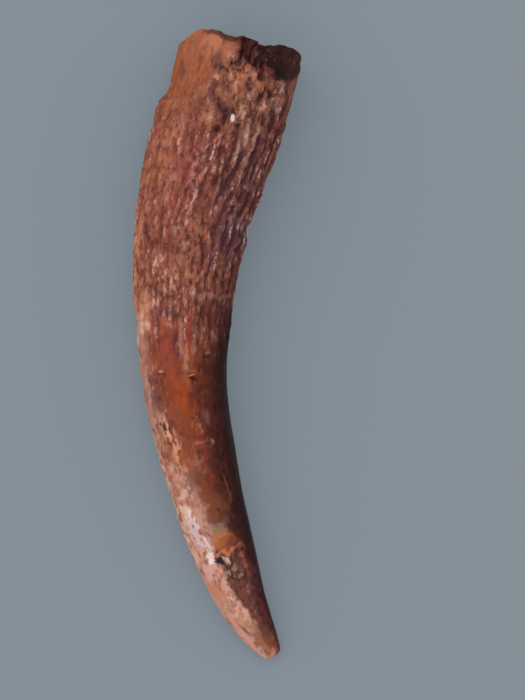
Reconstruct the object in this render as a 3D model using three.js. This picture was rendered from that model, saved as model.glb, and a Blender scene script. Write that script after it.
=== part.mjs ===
// A fossil pterosaur tooth: one curved, tapering piece of mineralised dentine and enamel, lying on its side.
// Millimetres. +Y runs from the tip to the root, +Z is up, and the tooth rests on Z = 0.
// Along the tooth, s is the distance down its curved axis from the broken root. Around it, an angle of
// 0 is the concave right-hand edge, 90 is the top, 180 is the convex left-hand edge and 270 is the underside.
import * as THREE from "three";

// ---- Driving dimensions ----

// Both lists have a knot every 5 mm, and more where the tip closes.
// [s, lean of the axis from -Y in degrees, positive towards -X]
const AXIS_LEAN = [
  [0, 16],
  [5, 14],
  [10, 17],
  [15, 11],
  [20, 4],
  [25, 0],
  [30, -9],
  [35, -13],
  [40, -17],
  [45, -20],
  [48, -28],
  [51, -33],
];
// [s, half of the width that is seen from above]
const HALF_WIDTH = [
  [0, 5.3],
  [5, 5.2],
  [10, 4.95],
  [15, 4.55],
  [20, 4.05],
  [25, 3.7],
  [30, 3.4],
  [35, 3.05],
  [40, 2.7],
  [45, 2.2],
  [48, 1.7],
  [50, 1.25],
  [51, 0.95],
  [51.5, 0.75],
];
const ROOT_DEPTH_RATIO = 0.8; // half depth over half width at the root
const TIP_DEPTH_RATIO = 0.92;
const LENGTH = 51.8; // along the axis, from the root's mean break to the tip
const TIP_LIP = 0.1; // how far the last ring lies before the tip
const REST_FLAT = 0.09; // how deep the underside's crests are worn flat where the tooth rests

// [angle, s of the broken edge]: the convex left-hand side has broken away furthest
const ROOT_BREAK = [
  [0, 0.1],
  [15, -0.1],
  [25, -0.2],
  [40, 0.3],
  [60, 0.55],
  [70, 0.2],
  [85, 0.1],
  [100, 0.4],
  [120, 0.2],
  [135, 0.3],
  [147, 0.6],
  [156, 1.1],
  [180, 1.7],
  [205, 0.9],
  [240, 0.3],
  [280, 0.4],
  [320, 0.4],
  [345, 0.1],
  [360, 0.1],
];
const BREAK_FADES = 6; // s where the uneven break no longer moves the surface
const BREAK_STARTS = 0.8; // share of the radius from which the broken face follows the uneven edge in full
const INFILL_DEPTH = 0.3; // how far the stone in the pulp cavity lies below the broken wall
const INFILL_EDGE = [0.58, 0.72]; // shares of the radius between which the wall drops to the stone
// Ripples of the broken face: [ripples round it, how fast they turn towards its middle, height]
const FACE_RIPPLES = [
  [5, 9, 0.13],
  [11, -14, 0.09],
];

// ---- Mesh density ----
const AROUND = 84;
const ALONG = 52;
const CROWDING = 0.3; // how much closer the rings lie at both ends than evenly
const FACE_SHARES = [0.2, 0.42, 0.6, 0.7, 0.86]; // shares of the radius at which the broken face has a ring
const AXIS_STEP = 0.1;
const AXIS_START = -2; // a little before the root's break

// ---- Helpers ----
const rad = THREE.MathUtils.degToRad;
const smooth = (x, low, high) => THREE.MathUtils.smoothstep(x, low, high);

// A smooth curve through knots of [x, y], flat beyond its ends.
function through(knots) {
  const slope = knots.map((knot, i) => {
    const before = knots[Math.max(i - 1, 0)];
    const after = knots[Math.min(i + 1, knots.length - 1)];
    return (after[1] - before[1]) / (after[0] - before[0]);
  });
  return (x) => {
    if (x <= knots[0][0]) return knots[0][1];
    const i = knots.findIndex((knot) => knot[0] >= x);
    if (i < 0) return knots[knots.length - 1][1];
    const [x0, y0] = knots[i - 1];
    const [x1, y1] = knots[i];
    const span = x1 - x0;
    const t = (x - x0) / span;
    const ease = t * t * (3 - 2 * t);
    const bend = t * (1 - t) * span;
    return y0 + (y1 - y0) * ease + bend * (slope[i - 1] * (1 - t) - slope[i] * t);
  };
}

const leanAt = through(AXIS_LEAN);
const halfWidthAt = through(HALF_WIDTH);
const rootBreakAt = through(ROOT_BREAK);
const depthRatioAt = (s) =>
  THREE.MathUtils.lerp(ROOT_DEPTH_RATIO, TIP_DEPTH_RATIO, smooth(s, 0, LENGTH));

// ---- Axis: the lean, followed step by step ----
const axis = [{ x: 0, y: 0 }];
for (let s = AXIS_START; s < LENGTH + 1; s += AXIS_STEP) {
  const last = axis[axis.length - 1];
  const lean = rad(leanAt(s + AXIS_STEP / 2));
  axis.push({ x: last.x - AXIS_STEP * Math.sin(lean), y: last.y - AXIS_STEP * Math.cos(lean) });
}
function axisAt(s) {
  const place = (s - AXIS_START) / AXIS_STEP;
  const i = Math.floor(place);
  const t = place - i;
  return {
    x: THREE.MathUtils.lerp(axis[i].x, axis[i + 1].x, t),
    y: THREE.MathUtils.lerp(axis[i].y, axis[i + 1].y, t),
  };
}

// ---- Relief: what stands proud of the plain form, or is missing from it ----

// The root's lengthwise wrinkles are two sets of waves round the tooth. Each set wanders to and fro on its way
// down, so where the sets meet they seem to fork, and both die out towards the smooth crown.
const WRINKLES = [
  { count: 28, height: 0.11, wander: 0.9, along: 0.9, around: 3, drift: 0 },
  { count: 19, height: 0.08, wander: -1.2, along: 0.7, around: 2, drift: 0.35 },
];
const WRINKLES_START = [1.5, 6]; // s between which they rise
const WRINKLES_END = [22, 28];
function wrinkles(angle, s) {
  const a = rad(angle);
  const strength = smooth(s, ...WRINKLES_START) * (1 - smooth(s, ...WRINKLES_END));
  const wave = ({ count, height, wander, along, around, drift }) =>
    height * Math.cos(count * a + wander * Math.sin(along * s + around * a) + drift * s);
  return strength * WRINKLES.reduce((sum, set) => sum + wave(set), 0);
}

// Broken and flaked places: [s, angle, half length, half angle, depth, softness of the edge].
const FLAKES = [
  [1.9, 168, 4.6, 56, 0.68, 0.2], // surface layer lost beside the root's break
  [-0.2, 46, 2.5, 52, 0.36, 0.12], // surface layer lost over the stone of the cavity
  [15.1, 4, 0.6, 24, 0.22, 0.6], // notch in the concave edge
  [22.5, 36, 1.3, 30, 0.1, 0.15], // layer lost below the growth line
  [30.4, 178, 8.2, 30, 0.14, 0.12], // strip of enamel lost below the ledge of the convex edge
  [28.9, 2, 4, 26, 0.1, 0.15], // enamel lost below the ledge of the concave edge
  [43.5, 76, 1.4, 36, 0.26, 0.2], // chip across the crown
  [46.9, 56, 3.6, 34, 0.1, 0.2], // flaked side of the tip
  [7.7, 88, 0.7, 8, 0.4, 0.6], // pits
  [17, 82, 0.7, 9, 0.35, 0.6],
  [27.9, 75, 0.6, 10, 0.25, 0.6],
];
// Lumps of rock and dentine that stand proud, in the same terms.
const LUMPS = [
  [16.1, 8, 0.8, 26, 0.13, 0.7], // below the notch
  [5.9, 86, 1.6, 16, 0.22, 0.8], // rough part of the root
  [4.6, 106, 1.2, 12, 0.16, 0.8],
  [2.8, 80, 1.0, 12, 0.14, 0.8],
  [4.6, 52, 1.2, 14, 0.12, 0.8],
  [46.7, 95, 4, 8, 0.08, 0.6], // edge of the tip's wear face
];
function plateau([s0, angle0, halfLength, halfAngle, height, softness], angle, s) {
  const turn = Math.abs(((angle - angle0 + 540) % 360) - 180);
  const reach = Math.hypot((s - s0) / halfLength, turn / halfAngle);
  return height * (1 - smooth(reach, 1 - softness, 1 + softness));
}
function relief(angle, s) {
  const lost = FLAKES.reduce((sum, flake) => sum + plateau(flake, angle, s), 0);
  const gained = LUMPS.reduce((sum, lump) => sum + plateau(lump, angle, s), 0);
  return wrinkles(angle, s) + gained - lost;
}

// ---- The tooth's surface ----

// A point at this angle and distance, at a share of the full radius.
function pointAt(angle, s, share = 1) {
  const a = rad(angle);
  const centre = axisAt(s);
  const lean = rad(leanAt(s));
  const width = halfWidthAt(s);
  const depth = width * depthRatioAt(s);
  const raised = 1 + relief(angle, s) / width;
  const across = width * raised * share * Math.cos(a);
  const up = depth * raised * share * Math.sin(a);
  return new THREE.Vector3(
    centre.x + across * Math.cos(lean),
    centre.y - across * Math.sin(lean),
    Math.max(depth + up - REST_FLAT, 0),
  );
}

// Rings from the middle of the broken root, over its edge and down to the tip.
const rings = [];
const angles = Array.from({ length: AROUND }, (_, i) => (360 * i) / AROUND);
const ripple = (angle, share) =>
  FACE_RIPPLES.reduce(
    (sum, [count, turning, height]) => sum + height * Math.cos(rad(count * angle) + turning * share),
    0,
  );
for (const share of FACE_SHARES) {
  const sunk = INFILL_DEPTH * (1 - smooth(share, ...INFILL_EDGE));
  rings.push(
    angles.map((angle) => {
      const edge = rootBreakAt(angle) * smooth(share, 0, BREAK_STARTS);
      return pointAt(angle, edge + sunk + ripple(angle, share), share);
    }),
  );
}
for (let i = 0; i <= ALONG; i++) {
  const t = i / ALONG;
  const even = (t - (CROWDING * Math.sin(2 * Math.PI * t)) / (2 * Math.PI)) * LENGTH;
  rings.push(
    angles.map((angle) => {
      const edge = rootBreakAt(angle) * (1 - smooth(even, 0, BREAK_FADES));
      return pointAt(angle, Math.min(even + edge, LENGTH - TIP_LIP));
    }),
  );
}

function skin(ringsOfPoints, firstPole, lastPole) {
  const positions = [firstPole, ...ringsOfPoints.flat(), lastPole].flatMap((p) => [p.x, p.y, p.z]);
  const indices = [];
  const at = (ring, i) => 1 + ring * AROUND + (i % AROUND);
  const last = ringsOfPoints.length - 1;
  const end = 1 + ringsOfPoints.length * AROUND;
  for (let i = 0; i < AROUND; i++) {
    indices.push(0, at(0, i + 1), at(0, i));
    indices.push(end, at(last, i), at(last, i + 1));
    for (let ring = 0; ring < last; ring++) {
      const [a, b] = [at(ring, i), at(ring, i + 1)];
      const [c, d] = [at(ring + 1, i), at(ring + 1, i + 1)];
      indices.push(a, b, c, b, d, c);
    }
  }
  const geometry = new THREE.BufferGeometry();
  geometry.setAttribute("position", new THREE.Float32BufferAttribute(positions, 3));
  geometry.setIndex(indices);
  return geometry;
}

const rootMiddle = pointAt(0, INFILL_DEPTH, 0);
const tip = pointAt(0, LENGTH, 0);
const geometry = skin(rings, rootMiddle, tip);
geometry.computeBoundingBox();
const middle = geometry.boundingBox.getCenter(new THREE.Vector3());
geometry.translate(-middle.x, -middle.y, 0);
geometry.computeVertexNormals();

const fossil = new THREE.MeshStandardMaterial({ color: 0x8a4a32, roughness: 0.45, metalness: 0 });
const tooth = new THREE.Mesh(geometry, fossil);
tooth.name = "tooth";

const group = new THREE.Group();
group.add(tooth);
export default group;
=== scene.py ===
# %% [markdown]
# # A fossil pterosaur tooth
# The real thing is one curved tooth, about 51 mm long, that stone has replaced grain by grain. Its root is
# wrinkled and broken off at the end, its crown is smooth, and flakes have come off along one edge and near
# the tip. It could be sculpted freely, but then nothing would tie it to its solid model. Here it is grown
# from the same few dimensions as the solid: a straight tooth first, then its relief, then its bend, then
# its colours.

# %% Load the solid model
import math
import bpy
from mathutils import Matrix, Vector


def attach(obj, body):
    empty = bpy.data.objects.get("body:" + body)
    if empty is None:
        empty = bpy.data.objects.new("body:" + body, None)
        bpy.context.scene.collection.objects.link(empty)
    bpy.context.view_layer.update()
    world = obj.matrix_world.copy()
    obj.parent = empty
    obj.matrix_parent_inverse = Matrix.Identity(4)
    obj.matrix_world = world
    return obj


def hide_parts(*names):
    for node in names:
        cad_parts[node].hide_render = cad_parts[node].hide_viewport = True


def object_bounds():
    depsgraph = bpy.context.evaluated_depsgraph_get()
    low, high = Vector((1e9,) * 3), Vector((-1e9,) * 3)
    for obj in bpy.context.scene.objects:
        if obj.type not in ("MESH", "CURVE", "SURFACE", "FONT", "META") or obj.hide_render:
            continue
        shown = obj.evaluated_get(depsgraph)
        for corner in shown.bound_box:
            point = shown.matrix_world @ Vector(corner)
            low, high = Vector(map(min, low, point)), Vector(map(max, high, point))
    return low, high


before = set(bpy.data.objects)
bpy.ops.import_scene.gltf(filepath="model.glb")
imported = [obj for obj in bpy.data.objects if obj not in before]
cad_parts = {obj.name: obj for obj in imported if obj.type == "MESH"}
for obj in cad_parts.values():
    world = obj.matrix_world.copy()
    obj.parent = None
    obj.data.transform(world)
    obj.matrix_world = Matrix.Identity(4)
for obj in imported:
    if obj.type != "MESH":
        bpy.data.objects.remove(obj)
cad_low, cad_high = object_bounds()
cad_size = [round(1000 * side, 2) for side in cad_high - cad_low]
print("solid tooth, mm:", cad_size, "nodes:", sorted(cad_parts))
bpy.ops.object.select_all(action="DESELECT")

# %% [markdown]
# ## The driving dimensions
# A tooth is easiest to describe along its own curved axis. Every size below is in millimetres, and s is
# the distance down the axis from the broken root. A knot every 5 mm, a few more where the tip closes, and
# a smooth curve through them say how wide the tooth is and which way its axis leans. They are the solid's
# own knots, so both have one outline.

# %% Dimensions along the axis
MM = 0.001
LENGTH = 51.8
REST_FLAT = 0.09  # how deep the underside is worn flat where the tooth rests
ROOT_DEPTH_RATIO = 0.8  # half depth over half width
TIP_DEPTH_RATIO = 0.92
# s: lean of the axis from -Y in degrees, positive towards -X
AXIS_LEAN = {0: 16, 5: 14, 10: 17, 15: 11, 20: 4, 25: 0, 30: -9, 35: -13, 40: -17, 45: -20,
             48: -28, 51: -33}
# s: half of the width that is seen from above
HALF_WIDTH = {0: 5.3, 5: 5.2, 10: 4.95, 15: 4.55, 20: 4.05, 25: 3.7, 30: 3.4, 35: 3.05, 40: 2.7,
              45: 2.2, 48: 1.7, 50: 1.25, 51: 0.95, 51.5: 0.75}


def ease(x, low=0.0, high=1.0):
    """0 below low, 1 above high and a smooth step between them."""
    t = min(max((x - low) / (high - low), 0), 1)
    return t * t * (3 - 2 * t)


def through(knots):
    """A smooth curve through the knots, level beyond its ends."""
    xs = sorted(knots)

    def slope(i):
        before = xs[max(i - 1, 0)]
        after = xs[min(i + 1, len(xs) - 1)]
        return (knots[after] - knots[before]) / (after - before)

    def curve(x):
        if x <= xs[0]:
            return knots[xs[0]]
        if x >= xs[-1]:
            return knots[xs[-1]]
        i = next(k for k in range(1, len(xs)) if xs[k] >= x)
        span = xs[i] - xs[i - 1]
        t = (x - xs[i - 1]) / span
        bend = t * (1 - t) * span * (slope(i - 1) * (1 - t) - slope(i) * t)
        return knots[xs[i - 1]] + (knots[xs[i]] - knots[xs[i - 1]]) * ease(t) + bend

    return curve


lean_at = through(AXIS_LEAN)
half_width_at = through(HALF_WIDTH)


def half_depth_at(s):
    """Half of the tooth's thickness."""
    ratio = ROOT_DEPTH_RATIO + (TIP_DEPTH_RATIO - ROOT_DEPTH_RATIO) * ease(s, 0, LENGTH)
    return half_width_at(s) * ratio


print("half width, mm:", [round(half_width_at(s), 2) for s in (0, 15, 30, 45)])

# %% [markdown]
# ## A straight tooth
# A curved tooth is hard to wrinkle evenly, so the tooth is first made straight, lying along -Y, with its
# axis at the height of the origin. By hand this is a circle that is extruded and scaled again and again,
# and that is what the loops do. Then the first ring is found again and drawn inwards, over the broken wall
# and down to the stone that fills the pulp cavity. The cage stays coarse, and Subdivision Surface makes it
# fine.

# %% Rings of the cage
CAGE_SIDES = 32
CAGE_RINGS = 41
CROWDING = 0.25  # how much closer the rings lie at both ends than evenly
SUBDIVISIONS = 3
SHRINK = (2 + math.cos(2 * math.pi / CAGE_SIDES)) / 3  # what subdividing takes off a round ring's radius
ROOT_LIP = 0.12  # mm, the width of the bevel of the broken edge
TIP_LIP = 0.06  # mm, how far the last ring lies before the tip
# (share of the radius, how far the ring lies below the break in mm)
BROKEN_RINGS = [(0.965, 0.0), (0.86, 0.0), (0.72, 0.05), (0.63, 0.25), (0.42, 0.3), (0.2, 0.3)]
NEAR = 1e-7  # m, how near to its ring a vertex lies


def ring_size(s):
    """What the ring at s measures across and up from its middle, in metres."""
    return Vector((half_width_at(s), 1, half_depth_at(s))) * MM / SHRINK


def extrude_ring(step, scale, middle):
    """Extrudes the selected ring by a step along the tooth and scales it about its middle."""
    bpy.ops.mesh.extrude_region_move(TRANSFORM_OT_translate={"value": (0, -step * MM, 0)})
    bpy.ops.transform.resize(value=scale, center_override=(0, -middle * MM, 0))


def select_ring(mesh, s):
    """Selects only the vertices of the ring at s."""
    bpy.ops.mesh.select_all(action="DESELECT")
    bpy.ops.object.mode_set(mode="OBJECT")
    for vertex in mesh.vertices:
        vertex.select = abs(vertex.co.y + s * MM) < NEAR
    bpy.ops.object.mode_set(mode="EDIT")


def even_place(t):
    """Where the ring at the share t of the way lies, with more rings near both ends."""
    return (t - CROWDING * math.sin(2 * math.pi * t) / (2 * math.pi)) * (LENGTH - ROOT_LIP) + ROOT_LIP


print("sides of a ring:", CAGE_SIDES, "rings:", CAGE_RINGS)

# %% The cage of the straight tooth
first = ring_size(0)
bpy.ops.mesh.primitive_circle_add(vertices=CAGE_SIDES, radius=1, rotation=(math.pi / 2, 0, 0))
tooth = bpy.context.object
tooth.name = "fossil_tooth"
bpy.ops.object.transform_apply(location=False, rotation=True, scale=False)
bpy.ops.object.mode_set(mode="EDIT")
bpy.ops.mesh.select_mode(type="VERT")
bpy.ops.mesh.select_all(action="SELECT")
bpy.ops.transform.resize(value=(first.x, 1, first.z), center_override=(0, 0, 0))
before = 0
for i in range(CAGE_RINGS):
    s = min(even_place(i / (CAGE_RINGS - 1)), LENGTH - TIP_LIP)
    old, new = ring_size(before), ring_size(s)
    extrude_ring(s - before, (new.x / old.x, 1, new.z / old.z), s)
    before = s
bpy.ops.mesh.edge_face_add()
select_ring(tooth.data, 0)
share_before, sunk_before = 1, 0
for share, sunk in BROKEN_RINGS:
    extrude_ring(sunk - sunk_before, (share / share_before, 1, share / share_before), sunk)
    share_before, sunk_before = share, sunk
bpy.ops.mesh.edge_face_add()
bpy.ops.mesh.select_all(action="SELECT")
bpy.ops.mesh.normals_make_consistent(inside=False)
bpy.ops.object.mode_set(mode="OBJECT")
print("cage:", len(tooth.data.polygons), "faces")

# %% Round the cage
rounding = tooth.modifiers.new("rounding", "SUBSURF")
rounding.levels = SUBDIVISIONS
rounding.render_levels = SUBDIVISIONS
bpy.ops.object.modifier_apply(modifier=rounding.name)
print("straight tooth:", 2 * len(tooth.data.polygons), "triangles")

# %% [markdown]
# ## A way to write patterns
# The tooth's relief is made by Geometry Nodes and its colours by shader nodes, and both are the same kind
# of sum: noise, waves and soft patches. Wiring them by hand takes hundreds of clicks, so a small class
# holds one value of a node tree. Adding or multiplying two of them adds the Math node that does it, and a
# pattern reads like the formula that it is. A board is one tree, and its node method adds every other
# node.


# %% A value
class Value:
    """A number on a wire of a node tree. Arithmetic on it adds Math nodes."""

    def __init__(self, board, socket):
        self.board = board
        self.socket = socket

    def __add__(self, other):
        return self.board.maths("ADD", self, other)

    def __sub__(self, other):
        return self.board.maths("SUBTRACT", self, other)

    def __rsub__(self, other):
        return self.board.maths("SUBTRACT", other, self)

    def __mul__(self, other):
        return self.board.maths("MULTIPLY", self, other)

    def __truediv__(self, other):
        return self.board.maths("DIVIDE", self, other)

    __radd__ = __add__
    __rmul__ = __mul__

    def cos(self):
        return self.board.maths("COSINE", self)

    def root(self):
        return self.board.maths("SQRT", self)

    def rise(self, low, high, top=1.0):
        """0 below low, top above high and a smooth step between them. It falls where low is the larger."""
        settings = {"interpolation_type": "SMOOTHSTEP"}
        sockets = {"Value": self, "From Min": low, "From Max": high, "To Max": top}
        return Value(self.board, self.board.node("ShaderNodeMapRange", settings, sockets).outputs[0])


# %% A board
class Board:
    """One node tree and the ways in which this script adds nodes to it."""

    def __init__(self, tree):
        self.tree = tree

    def node(self, kind, settings, sockets, stops=()):
        """Adds a node: its settings are set first, then the stops of its curve or ramp, then its sockets."""
        made = self.tree.nodes.new(kind)
        for name, setting in settings.items():
            setattr(made, name, setting)
        if kind == "ShaderNodeFloatCurve":
            self.bend(made.mapping, stops)
        if kind == "ShaderNodeValToRGB":
            self.fill(made.color_ramp, stops)
        for name, given in sockets.items():
            socket = self.socket(made.inputs, name)
            if isinstance(given, Value):
                given = given.socket
            if isinstance(given, bpy.types.NodeSocket):
                self.tree.links.new(given, socket)
            else:
                socket.default_value = given
        return made

    def bend(self, mapping, stops):
        """Puts the points (x, y) on a curve, which has one at each end already."""
        points = mapping.curves[0].points
        points[0].location, *between, points[-1].location = stops
        for x, y in between:
            points.new(x, y)
        mapping.update()

    def fill(self, ramp, stops):
        """Puts the stops (place, colour) on a ramp."""
        while len(ramp.elements) < len(stops):
            ramp.elements.new(1.0)
        for element, (place, colour) in zip(ramp.elements, stops):
            element.position = place
            element.color = colour

    def socket(self, sockets, name):
        """A socket by its number, or the one in use that has this name."""
        if isinstance(name, int):
            return sockets[name]
        return next(socket for socket in sockets if socket.enabled and socket.name == name)

    def maths(self, operation, *inputs):
        """Adds a Math node."""
        made = self.node("ShaderNodeMath", {"operation": operation}, dict(enumerate(inputs)))
        return Value(self, made.outputs[0])

    def vector_maths(self, operation, *inputs, scale=None):
        """Adds a Vector Math node."""
        sockets = dict(enumerate(inputs))
        if scale is not None:
            sockets["Scale"] = scale
        return self.node("ShaderNodeVectorMath", {"operation": operation}, sockets).outputs[0]

    def vector(self, x, y, z):
        """Three numbers as one vector."""
        return self.node("ShaderNodeCombineXYZ", {}, {"X": x, "Y": y, "Z": z}).outputs[0]

    def parts(self, vector):
        """The three numbers of a vector."""
        made = self.node("ShaderNodeSeparateXYZ", {}, {0: vector})
        return [Value(self, socket) for socket in made.outputs]

    def mix(self, factor, first, second):
        """A number between two numbers."""
        sockets = {"Factor": factor, "A": first, "B": second}
        made = self.node("ShaderNodeMix", {"data_type": "FLOAT"}, sockets)
        return Value(self, self.socket(made.outputs, "Result"))

    def scaled(self, place, across, along):
        """The place, counted in so many mm across and along the tooth."""
        return self.vector_maths("MULTIPLY", place, (1 / across, 1 / along, 1 / across))

    def noise(self, place, across, along, detail=2.0, roughness=0.5):
        """Noise from 0 to 1 whose lumps measure so many mm across and along the tooth."""
        sockets = {"Vector": self.scaled(place, across, along), "Scale": 1.0, "Detail": detail,
                   "Roughness": roughness}
        return Value(self, self.node("ShaderNodeTexNoise", {}, sockets).outputs[0])

    def pushed(self, place, size, push):
        """The place, pushed aside by noise of this size by up to so many mm."""
        sockets = {"Vector": self.scaled(place, size, size), "Scale": 1.0, "Detail": 2.0}
        made = self.node("ShaderNodeTexNoise", {}, sockets)
        aside = self.vector_maths("SUBTRACT", made.outputs[1], (0.5, 0.5, 0.5))
        return self.vector_maths("MULTIPLY_ADD", aside, (2 * push, 2 * push, 2 * push), place)

    def cells(self, place, across, along):
        """Cells of this size in mm: a random number for each, and how far its edge is, counted in cells."""
        sockets = {"Vector": self.scaled(place, across, along), "Scale": 1.0}
        inside = self.node("ShaderNodeTexVoronoi", {"feature": "F1"}, sockets)
        edge = self.node("ShaderNodeTexVoronoi", {"feature": "DISTANCE_TO_EDGE"}, sockets)
        chance, _, _ = self.parts(self.socket(inside.outputs, "Color"))
        return chance, Value(self, self.socket(edge.outputs, "Distance"))


# %% [markdown]
# ## Places on the tooth
# A ledge, a pit or a stain is somewhere on the tooth, so it is named by two numbers: s, and the turn round
# the axis in degrees, where 0 is the inside of the curve, 90 is the top, 180 the outside of the curve and
# 270 the underside. A patch is an oval in those terms. Its edge may be made ragged by noise, as a broken
# edge is, and the cosine of the turn keeps it whole where the turn goes from 360 back to 0.


# %% Patches
# what pushes an edge about: (size of the noise, how far it pushes), in mm
EDGES = {"soft": (), "wavy": ((1.6, 0.7),), "ragged": ((1.4, 0.7), (0.5, 0.35)),
         "torn": ((1.4, 0.7), (0.5, 0.5), (0.2, 0.25))}


class Places:
    """The places on the straight tooth, as values of one board."""

    def __init__(self, board, place):
        self.board = board
        self.place = place
        self.seen = {edge: self.look(pushes) for edge, pushes in EDGES.items()}
        self.s, self.turn = self.seen["soft"]
        self.whole = board.noise(place, 0.3, 0.6, detail=2).rise(0.36, 0.6)

    def look(self, pushes):
        """s and the turn of each place, after it has been pushed aside."""
        place = self.place
        for size, push in pushes:
            place = self.board.pushed(place, size, push)
        across, s, up = self.board.parts(place)
        return s, self.board.maths("ARCTAN2", up, across)

    def patch(self, oval, edge="soft", soft=0.3, strength=1.0):
        """The strength inside an oval and 0 outside it. The oval is its middle (s, turn) and its two half
        sizes, in mm and degrees, and, where it slants, by how many degrees it does so in each mm. A torn
        patch has holes in it too."""
        s, turn, half_length, half_turn, *slant = oval
        seen_s, seen_turn = self.seen[edge]
        past = seen_s - s
        turned = seen_turn - math.radians(turn)
        if slant:
            turned = turned - past * math.radians(slant[0])
        along = past * (1 / half_length)
        around = (1 - turned.cos()) * (2 / math.radians(half_turn) ** 2)
        inside = (along * along + around).root().rise(1 + soft, 1 - soft, strength)
        return inside * self.whole if edge == "torn" else inside


print("edges that a patch can have:", ", ".join(EDGES))

# %% [markdown]
# ## The relief
# The root's wrinkles run lengthwise, about 0.75 mm apart, wander, fork and are broken into beads. A wave
# round the axis, pushed about by slow noise, gives lines like that, and a second wave with another count
# takes over in places, which makes the forks. Noise that is drawn out along the tooth adds a grain like
# that of bark, and small cells break the lines into beads. What was lost or stands proud, such as the
# ledges, flakes, pits and lumps, is a list of patches: those of the solid, and smaller ones of the same
# kind. Geometry Nodes moves each point away from the axis by the sum. It also writes down where each point
# was on the straight tooth and how high its wrinkle stands: the colours need both.

# %% Relief in numbers
WRINKLES = 34  # round the whole tooth
FORKED_WRINKLES = 27
WANDER = 17  # how far slow noise pushes the wrinkles, in radians of their wave
FORKED_WANDER = 14
BARK_SHARE = 3.2  # what brings the bark's noise to about -1 to 1
WRINKLE_HEIGHT = 0.12
WRINKLES_START = (2.5, 6.5)  # s between which they rise
WRINKLES_END = (28.0, 22.5)
BEAD_WIDTH, BEAD_LENGTH = 0.44, 1.3
# an oval, the depth or height in mm, the edge and how soft it is
FLAKES = {
    "layer lost beside the break": ((1.9, 168, 4.6, 56), 0.68, "wavy", 0.18),
    "layer lost over the stone": ((-0.2, 46, 2.5, 52), 0.36, "ragged", 0.1),
    "notch of the inner edge": ((15.1, 4, 0.6, 24), 0.22, "soft", 0.5),
    "layer lost below the growth line": ((22.5, 36, 1.3, 30), 0.1, "ragged", 0.15),
    "strip lost along the outer edge": ((30.4, 178, 8.2, 30), 0.14, "ragged", 0.12),
    "layer lost on the inner edge": ((28.9, 2, 4, 26), 0.1, "wavy", 0.6),
    "chip near the tip": ((43.5, 76, 1.4, 36), 0.2, "torn", 0.15),
    "flake inside the chip": ((42.8, 88, 0.6, 20), 0.14, "torn", 0.15),
    "flaked side of the tip": ((46.9, 56, 3.6, 34, -4), 0.1, "torn", 0.15),
    "dent of the pale strip": ((41.0, 130, 1.4, 10, -5), 0.1, "torn", 0.2),
    "pit of the rough part": ((7.7, 88, 0.4, 4.5), 0.4, "soft", 0.5),
    "ringed pit": ((3.3, 67, 0.3, 3.5), 0.3, "soft", 0.5),
    "pit of the root": ((17.0, 82, 0.35, 4), 0.4, "soft", 0.5),
    "pit of the crown": ((27.85, 75, 0.28, 5.5, -20), 0.3, "soft", 0.4),
    "second pit of the crown": ((26.1, 50, 0.24, 8), 0.28, "soft", 0.4),
    "pit of the outer edge": ((27.4, 124, 0.16, 8), 0.2, "soft", 0.5),
}
LUMPS = {
    "bump below the notch": ((16.1, 8, 0.8, 26), 0.13, "soft", 0.6),
    "middle lump": ((5.9, 86, 1.6, 16), 0.2, "ragged", 0.7),
    "lump beside the lost layer": ((4.6, 104, 1.2, 9), 0.15, "ragged", 0.7),
    # a raised bead that carries a painted glint
    "bead under the painted glint": ((6.6, 76, 0.26, 2.2), 0.14, "soft", 0.6),
    "rim of the crown's pit": ((27.5, 72, 0.2, 6), 0.08, "soft", 0.6),
    "rim of the second pit": ((25.8, 49, 0.2, 6), 0.08, "soft", 0.6),
    "edge of the wear face": ((46.7, 95, 4.0, 6, -3), 0.07, "wavy", 0.6),
}
print("lost places:", len(FLAKES), "raised places:", len(LUMPS))


# %% Wrinkles and the height of the surface
def beads(board, place):
    """The beads that the wrinkles are broken into: a random number for each and the distance to its edge."""
    return board.cells(board.pushed(place, 1.6, 0.4), BEAD_WIDTH, BEAD_LENGTH)


def wrinkles(board, where):
    """How high the wrinkles stand, from about -1 to 1, fading out at the crown and in the rough part."""
    push = (board.noise(where.place, 3.5, 8.0, detail=1) - 0.5) * WANDER
    other_push = (board.noise(where.place, 5.0, 6.0, detail=1) - 0.5) * FORKED_WANDER
    lines = (where.turn * WRINKLES + push).cos()
    other_lines = (where.turn * FORKED_WRINKLES + other_push + 1.0).cos()
    forks = board.noise(where.place, 2.0, 3.5, detail=1).rise(0.46, 0.54)
    lines = board.mix(forks, lines, other_lines)
    bark = (board.noise(where.place, 0.5, 1.3, detail=1) - 0.5) * BARK_SHARE
    chance, edge = beads(board, where.place)
    strength = where.s.rise(*WRINKLES_START) * where.s.rise(*WRINKLES_END)
    return strength * (lines * 0.7 + bark * 0.4 + chance * edge.rise(0.0, 0.22) * 1.2 - 0.45)


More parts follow.
